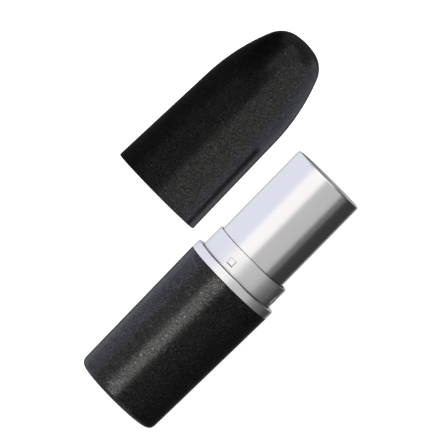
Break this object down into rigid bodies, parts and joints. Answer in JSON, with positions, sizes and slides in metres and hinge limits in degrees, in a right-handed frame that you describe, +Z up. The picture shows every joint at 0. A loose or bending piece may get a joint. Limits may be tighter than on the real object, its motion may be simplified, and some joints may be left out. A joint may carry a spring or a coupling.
{
  "type": "lipstick case",
  "caption": "Slim swivel-up lipstick case lying on its side: tapered black base, silver collar and tube with an empty rising cup, and a bullet-shaped black cap beside it.",
  "frame": {"origin": "centre of the flat foot of the base, on the axis of the case", "axes": "+X along the case from its foot to its open end, +Z up from the surface that the case and cap lie on, +Y towards the cap"},
  "size_m": [0.0764, 0.0436, 0.0208],
  "materials": {
    "base_black": "satin black lacquer with a fine metallic fleck",
    "weight_steel": "plain turned steel slug",
    "insert_plastic": "moulded grey plastic",
    "collar_silver": "anodised satin-bright silver",
    "fork_plastic": "moulded dark grey plastic",
    "brake_silicone": "soft silicone",
    "tube_silver": "anodised satin-bright silver",
    "sleeve_plastic": "moulded dark grey plastic",
    "cup_plastic": "moulded black plastic, semi-gloss",
    "cap_black": "satin black lacquer with a fine metallic fleck"
  },
  "bodies": {
    "base": {"base_shell": "base_black", "base_weight": "weight_steel", "base_insert": "insert_plastic", "collar": "collar_silver", "inner_fork": "fork_plastic", "brake_ring": "brake_silicone"},
    "tube": {"tube_shell": "tube_silver", "spiral_sleeve": "sleeve_plastic"},
    "cup": {"pomade_cup": "cup_plastic"},
    "cap": {"cap": "cap_black"}
  },
  "joints": [
    {"name": "tube_swivel", "type": "hinge", "parent": "base", "child": "tube", "pos_m": [0.0095, 0, 0], "axis": [0.9999, 0.0105, 0], "range_deg": [0, 540]},
    {"name": "cup_slide", "type": "slide", "parent": "base", "child": "cup", "axis": [0.9999, 0.0105, 0], "range_m": [0, 0.033]},
    {"name": "cap_pull", "type": "slide", "parent": "base", "child": "cap", "axis": [1, 0, 0], "range_m": [-0.0006, 0.0275]}
  ],
  "couplings": [
    {"joint": "cup_slide", "follows": "tube_swivel", "m_per_rad": 0.0035014}
  ]
}
